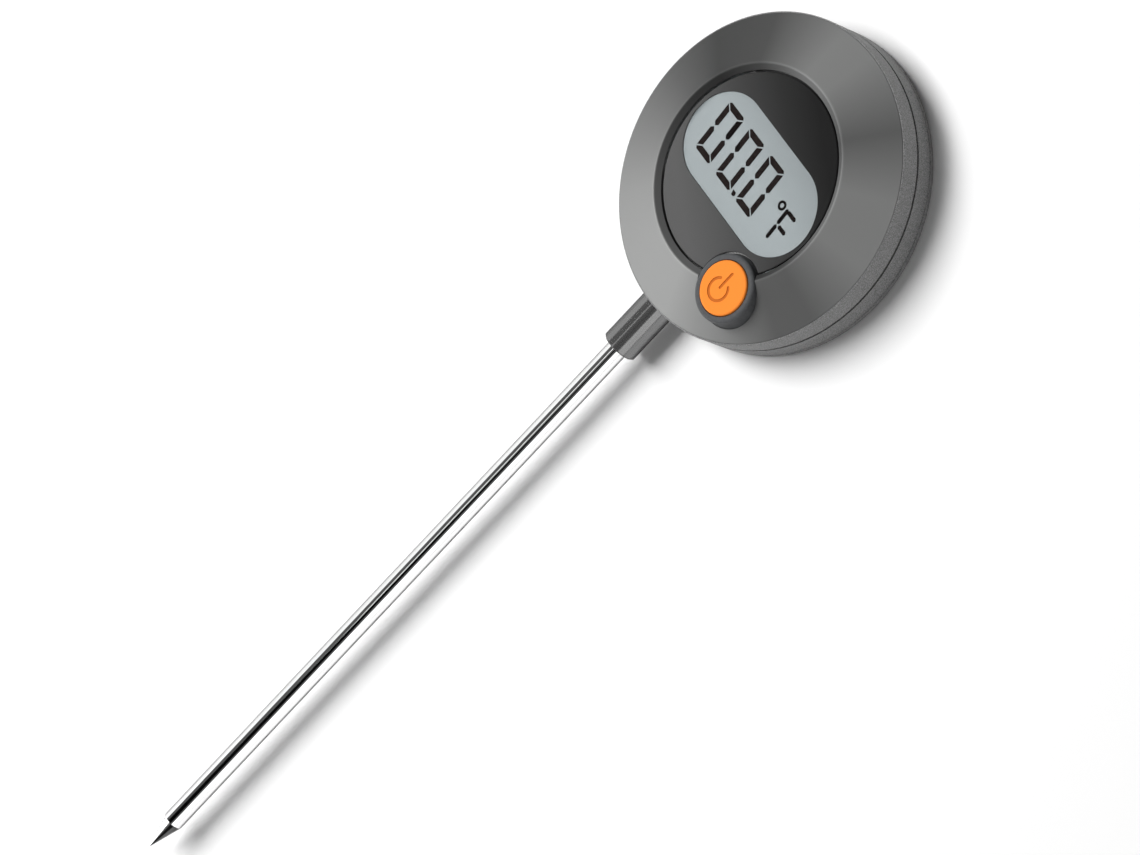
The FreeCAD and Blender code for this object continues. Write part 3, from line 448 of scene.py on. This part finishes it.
# %% Inner finishes
INNER = [
    # name, dark, light, metal, roughness, grain, pieces
    ("board_green", (0.015, 0.12, 0.05), (0.03, 0.2, 0.08), 0.0, (0.25, 0.35), 0.8, ["circuit_board"]),
    ("chip_resin", grey(0.01), grey(0.02), 0.0, (0.15, 0.3), 0.7, ["chip_cover"]),
    ("ceramic_chips", (0.3, 0.22, 0.15), (0.4, 0.3, 0.22), 0.0, (0.5, 0.6), 0.3, ["board_components"]),
    ("bright_tin", grey(0.7), grey(0.85), 1.0, (0.15, 0.3), 0.4, ["crystal"]),
    ("solder_tin", grey(0.6), grey(0.8), 1.0, (0.2, 0.35), 0.3, ["lead_solder"]),
    ("gold_plate", (0.8, 0.55, 0.18), (0.9, 0.65, 0.26), 1.0, (0.2, 0.35), 0.3, ["key_contacts"]),
    ("cell_steel", grey(0.65), grey(0.75), 1.0, (0.22, 0.35), 0.3, ["coin_cell"]),
    ("spring_steel", grey(0.5), grey(0.6), 1.0, (0.25, 0.4), 0.2,
     ["negative_contact", "positive_contact", "retaining_ring"]),
    ("screw_steel", grey(0.45), grey(0.6), 1.0, (0.25, 0.4), 0.2, ["case_screws", "board_screws"]),
    ("strip_rubber", grey(0.3), grey(0.5), 0.0, (0.6, 0.8), 0.15, ["zebra_strips"]),
    ("frame_white", grey(0.65), grey(0.72), 0.0, (0.45, 0.6), 0.5, ["lcd_frame"]),
    ("black_tape", grey(0.01), grey(0.025), 0.0, (0.7, 0.9), 0.3, ["lens_tape"]),
    ("seal_rubber", grey(0.012), grey(0.025), 0.0, (0.45, 0.6), 0.3, ["shell_gasket", "cap_seal"]),
    ("bead_glass", (0.03, 0.03, 0.05), (0.06, 0.06, 0.08), 0.0, (0.1, 0.2), 0.3, ["thermistor"]),
    ("lead_wire", (0.45, 0.05, 0.03), (0.6, 0.09, 0.05), 0.0, (0.3, 0.4), 0.2, ["sensor_leads"]),
    ("thermal_resin", grey(0.55), grey(0.7), 0.0, (0.6, 0.75), 0.2, ["potting"]),
    ("sleeve_plastic", grey(0.75), grey(0.85), 0.0, (0.3, 0.4), 0.5, ["lead_sleeve"]),
]
for name, dark, light, metal, rough, size, pieces in INNER:
    dress(grained(name, dark, light, metal=metal, rough=rough, size=size), *pieces)

# %% [markdown]
# ## The table
# The table is a plain white sheet, far larger than the view, so it has no edge or corner.

# %% Table
def flat_sheet(name, corners, height, material):
    mesh = bpy.data.meshes.new(name)
    mesh.from_pydata([(x, y, height) for x, y in corners], [], [range(len(corners))])
    made = bpy.data.objects.new(name, mesh)
    mesh.materials.append(material)
    bpy.context.scene.collection.objects.link(made)
    return made


white, white_shader = new_finish("table_white", 0.0, 0.9)
white_shader.inputs["Base Color"].default_value = (0.97, 0.97, 0.97, 1)
white_shader.inputs["Specular IOR Level"].default_value = 0.0
flat_sheet("table", [(-3, -3), (3, -3), (3, 3), (-3, 3)], TABLE, white)

# %% [markdown]
# ## The lights
# A polished rod shows its whole surroundings as lengthwise stripes, so it is lit by what it
# reflects: a white wall low on each side, and a black card overhead that draws the thin dark line
# of every steel packshot. A third wall beyond the point lights the cone, and a narrow strip draws
# the fine bright hair in the dark line. The shadow comes from a separate, stronger softbox high on
# the -X side. The flat window would mirror it, so it is crossed out of every gloss, as a polarising
# filter does in a studio. The card, the left wall and the wall beyond the point are seen in
# reflections only. The world stays dim.

# %% Lights and card
AIM = Vector((4.0, -15.9, 0.0)) * MM


def facing(direction, side):
    """Turn that points local +Z along direction, with local X as near to side as it can be."""
    z = Vector(direction).normalized()
    x = (Vector(side) - z * z.dot(Vector(side))).normalized()
    return Matrix((x, z.cross(x), z)).transposed().to_quaternion()


def softbox(name, direction, distance, side, size, watts):
    """Area lamp out along direction from AIM, shining back at it, its width along side."""
    lamp = bpy.data.lights.new(name, "AREA")
    lamp.shape = "RECTANGLE"
    lamp.size, lamp.size_y = size
    lamp.energy = watts
    made = bpy.data.objects.new(name, lamp)
    made.location = AIM + Vector(direction).normalized() * distance
    made.rotation_mode = "QUATERNION"
    made.rotation_quaternion = facing(direction, side)
    made.visible_camera = False
    bpy.context.scene.collection.objects.link(made)
    print(name, watts, "W")
    return made


key = softbox("key_softbox", (-0.453, -0.101, 0.886), 1.1, (1, 0, 0), (0.9, 0.46), 15.1)
key.visible_glossy = False
left = softbox("left_wall", (-0.84, -0.33, 0.42), 1.0, (0, 1, 0), (0.5, 0.84), 1.3)
left.visible_diffuse = False
softbox("right_wall", (0.86, -0.31, 0.36), 1.0, (0, 1, 0), (0.5, 0.72), 1.7)
beyond = softbox("point_wall", (-0.42, -0.8, 0.45), 1.0, (1, 0, 0), (1.0, 0.5), 3.2)
beyond.visible_diffuse = False
softbox("hair_light", (-0.02, -0.29, 0.95), 1.0, (1, 0, 0), (0.09, 0.22), 0.08)

black, black_shader = new_finish("card_black", 0.0, 0.9)
black_shader.inputs["Base Color"].default_value = (0.002, 0.002, 0.002, 1)
black_shader.inputs["Specular IOR Level"].default_value = 0.0
CARD_HEIGHT = 0.6
CARD = [(0.34, -0.05), (0.30, -0.14), (-0.27, -0.47), (0.34, -0.47)]
card = flat_sheet("overhead_card", CARD, CARD_HEIGHT, black)
card.visible_camera = False
card.visible_diffuse = False
card.visible_shadow = False

scene = bpy.context.scene
world = bpy.data.worlds.new("studio")
scene.world = world
world.use_nodes = True
sky = world.node_tree.nodes["Background"]
sky.inputs["Color"].default_value = (1, 1, 1, 1)
sky.inputs["Strength"].default_value = 0.1
scene.view_settings.view_transform = "Standard"

# %% [markdown]
# ## The camera
# A long lens from far away keeps the probe's width nearly even from end to end. The camera is
# placed by direction and distance from the point that it looks at, and rolled about its own
# axis so that the probe runs down to the lower left corner.

# %% Camera
LENS, SENSOR = 200.0, 36.0
CLIP = 0.05, 20.0
AZIMUTH, ELEVATION, ROLL = 120.16, 52.4, -71.41
DISTANCE = 1.088


def place_camera():
    camera = bpy.data.cameras.new("camera")
    camera.lens = LENS
    camera.sensor_width = SENSOR
    camera.clip_start, camera.clip_end = CLIP
    made = bpy.data.objects.new("camera", camera)
    around, above = math.radians(AZIMUTH), math.radians(ELEVATION)
    level = math.cos(above)
    back = Vector((math.sin(around) * level, -math.cos(around) * level, math.sin(above)))
    made.location = AIM + back * DISTANCE
    made.rotation_mode = "QUATERNION"
    turn = (-back).to_track_quat("-Z", "Y")
    made.rotation_quaternion = turn @ Quaternion((0, 0, 1), math.radians(ROLL))
    scene.collection.objects.link(made)
    scene.camera = made
    print("camera at", [round(v, 3) for v in made.location])


place_camera()
